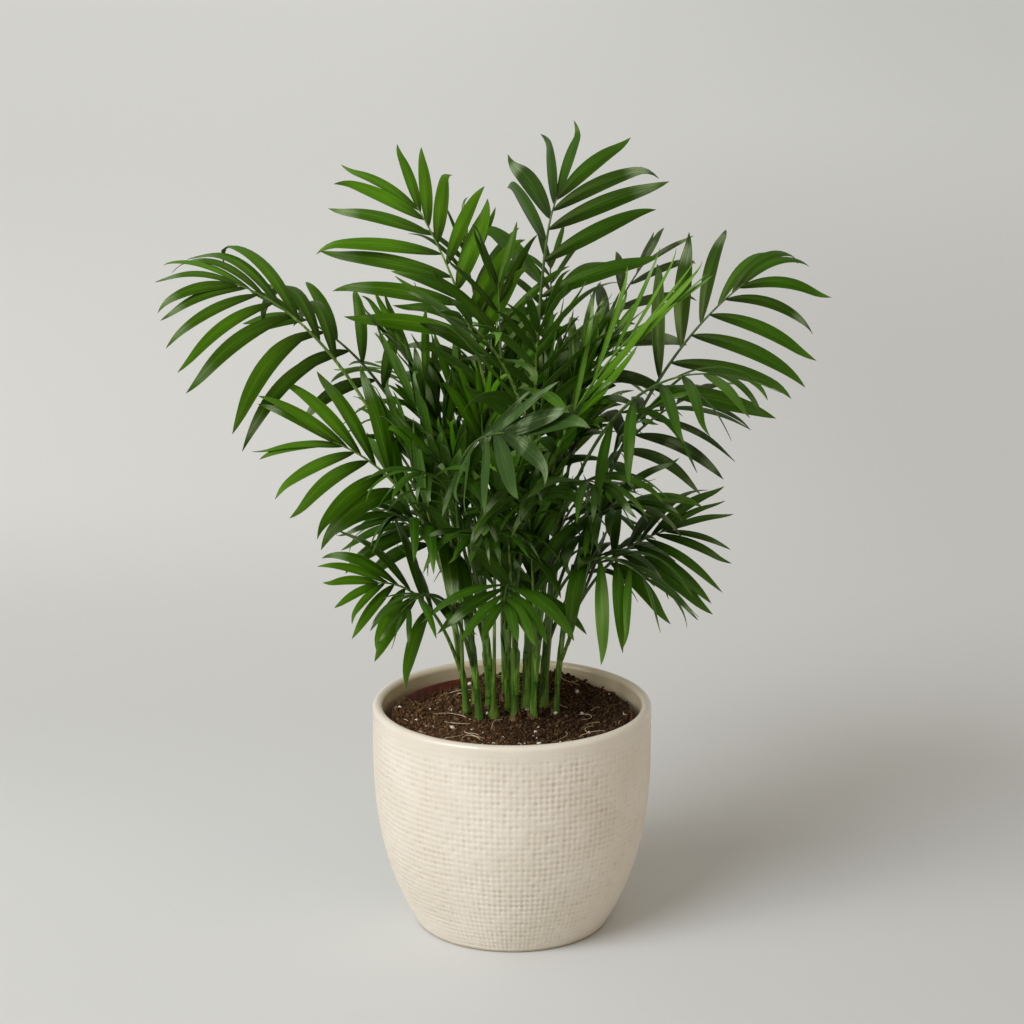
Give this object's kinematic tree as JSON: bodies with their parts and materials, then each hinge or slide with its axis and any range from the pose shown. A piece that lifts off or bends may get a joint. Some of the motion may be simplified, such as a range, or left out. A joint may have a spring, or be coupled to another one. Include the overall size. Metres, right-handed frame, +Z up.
{
  "type": "parlour palm in a pot",
  "caption": "Clump of slender green palm canes with feathery arching fronds, in a nursery pot of soil inside a round glazed cream cover pot with a woven relief.",
  "frame": {"origin": "middle of the flat underside of the cover pot, where it stands", "axes": "+Z up along the pot's axis, +X to the plant's right and -Y to its front as pictured"},
  "size_m": [0.3981, 0.3373, 0.4763],
  "materials": {
    "glaze": "cream glaze, satin, over a woven relief",
    "nursery_plastic": "terracotta-red plastic",
    "potting_soil": "dark damp potting soil with perlite",
    "cane": "green, smooth, sheathed",
    "leaf": "deep green, satin, finely veined",
    "new_leaf": "fresh yellow-green, satin"
  },
  "bodies": {
    "root": {"cane_01": "cane", "cane_02": "cane", "cane_03": "cane", "cane_04": "cane", "cane_05": "cane", "cane_06": "cane", "cane_07": "cane", "cane_08": "cane", "cane_09": "cane", "cane_10": "cane", "cane_11": "cane", "cane_12": "cane", "cane_13": "cane", "cover_pot": "glaze", "frond_back_arch": "leaf", "frond_back_left_arch": "leaf", "frond_back_left_low": "leaf", "frond_back_low": "leaf", "frond_back_right_arch": "leaf", "frond_back_right_low": "leaf", "frond_back_upper": "leaf", "frond_back_upper_right": "leaf", "frond_centre_front": "leaf", "frond_front_left": "leaf", "frond_front_right": "leaf", "frond_inner_left": "leaf", "frond_inner_left_low": "leaf", "frond_inner_right": "leaf", "frond_inner_right_low": "leaf", "frond_left_arch": "leaf", "frond_left_behind": "leaf", "frond_left_low": "leaf", "frond_left_low_back": "leaf", "frond_left_mid": "leaf", "frond_low_front": "leaf", "frond_low_left_front": "leaf", "frond_low_right": "leaf", "frond_mid_left": "leaf", "frond_middle": "leaf", "frond_middle_back": "leaf", "frond_middle_front": "leaf", "frond_middle_high": "leaf", "frond_middle_left": "leaf", "frond_middle_low": "leaf", "frond_middle_right": "leaf", "frond_new_leaf": "new_leaf", "frond_right_arch": "leaf", "frond_right_back": "leaf", "frond_right_front": "leaf", "frond_right_low": "leaf", "frond_right_low_front": "leaf", "frond_right_mid_back": "leaf", "frond_top_centre": "leaf", "frond_upper_front": "leaf", "frond_upper_left": "leaf", "frond_upper_middle": "leaf", "nursery_pot": "nursery_plastic", "soil": "potting_soil"}
  },
  "joints": []
}
